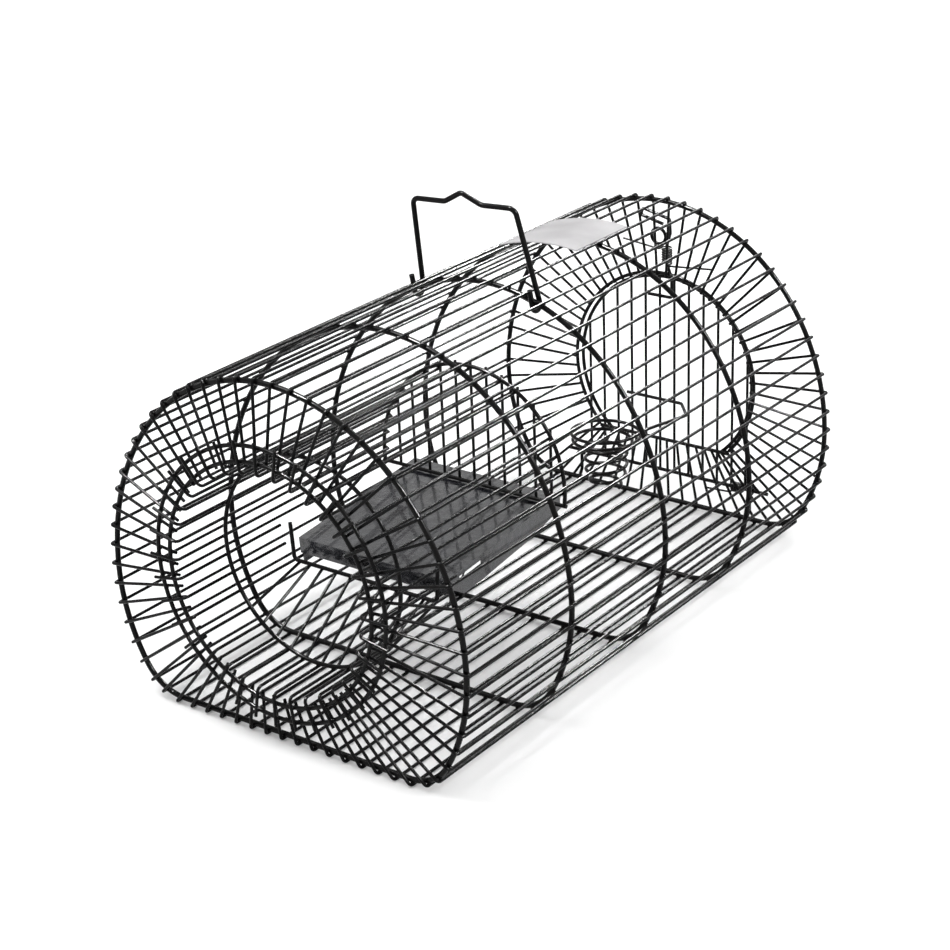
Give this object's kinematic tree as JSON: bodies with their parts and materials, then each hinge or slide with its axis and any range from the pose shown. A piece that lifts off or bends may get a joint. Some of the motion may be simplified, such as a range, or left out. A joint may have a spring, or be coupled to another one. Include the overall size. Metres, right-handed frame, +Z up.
{
  "type": "live catch trap",
  "caption": "Arched wire cage trap for catching rats alive: round entry funnel with a tilting platform, folding carry handle, bait holder and a latched rear door",
  "frame": {"origin": "on the ground, below the middle of the box that bounds the trap", "axes": "+X across the cage, to the right when looking in at the entry; +Y along the cage from the entry funnel to the rear door; +Z up"},
  "size_m": [0.251, 0.4063, 0.2642],
  "materials": {
    "hoop_paint": "gloss black lacquer over thick steel wire",
    "wire_paint": "gloss black lacquer over thin steel wire",
    "sheet_paint": "gloss black lacquer over folded sheet steel",
    "label_blank": "plain pale satin coated sheet, blank",
    "spring_wire": "dark oiled spring wire"
  },
  "bodies": {
    "cage": {"hoop_front": "hoop_paint", "hoop_second": "hoop_paint", "hoop_middle": "hoop_paint", "hoop_fourth": "hoop_paint", "hoop_rear": "hoop_paint", "wires_top": "wire_paint", "wires_right": "wire_paint", "wires_left": "wire_paint", "wires_floor": "wire_paint", "front_bends": "wire_paint", "front_face_wires": "wire_paint", "rear_bends": "wire_paint", "rear_face_wires": "wire_paint", "collar_ring_outer": "hoop_paint", "collar_ring_inner": "hoop_paint", "funnel_ring": "hoop_paint", "collar_bends": "wire_paint", "funnel_wires": "wire_paint", "ramp_bends": "wire_paint", "ramp_wires": "wire_paint", "ramp_top_bar": "hoop_paint", "gate_arch": "hoop_paint", "gate_sill": "hoop_paint", "gate_bars": "wire_paint", "platform_pivot_rod": "hoop_paint", "opening_ring": "hoop_paint", "opening_sill": "hoop_paint", "hinge_eyelets": "wire_paint", "label_plate": "label_blank", "latch_spring": "spring_wire", "door_spring": "spring_wire", "platform_spring": "spring_wire"},
    "tilt_platform": {"platform": "sheet_paint"},
    "carry_handle": {"handle": "hoop_paint"},
    "rear_door": {"door_ring": "hoop_paint", "door_wires": "wire_paint", "door_hinge_rod": "hoop_paint", "bait_spiral": "wire_paint", "bait_arm": "wire_paint"},
    "latch": {"latch_wire": "wire_paint", "latch_ring": "wire_paint"}
  },
  "joints": [
    {"name": "platform_tilt", "type": "hinge", "parent": "cage", "child": "tilt_platform", "pos_m": [0, -0.106, 0.06895], "axis": [-1, 0, 0], "range_deg": [0, 40], "stiffness_Nm_per_rad": 0.08, "springref_deg": -20.05, "deforming": ["platform_spring"]},
    {"name": "handle_fold", "type": "hinge", "parent": "cage", "child": "carry_handle", "pos_m": [-0.0055, -0.00045, 0.20129], "axis": [0.9986, 0, 0.0534], "range_deg": [-78, 62]},
    {"name": "door_swing", "type": "hinge", "parent": "cage", "child": "rear_door", "pos_m": [0, 0.1974, 0.02005], "axis": [-1, 0, 0], "range_deg": [0, 95], "stiffness_Nm_per_rad": 0.15, "springref_deg": -34.38, "deforming": ["door_spring", "latch_wire"]},
    {"name": "latch_lift", "type": "slide", "parent": "cage", "child": "latch", "axis": [0, 0, 1], "range_m": [0, 0.019], "stiffness_N_per_m": 150, "springref_m": -0.01, "deforming": ["latch_spring"]}
  ]
}
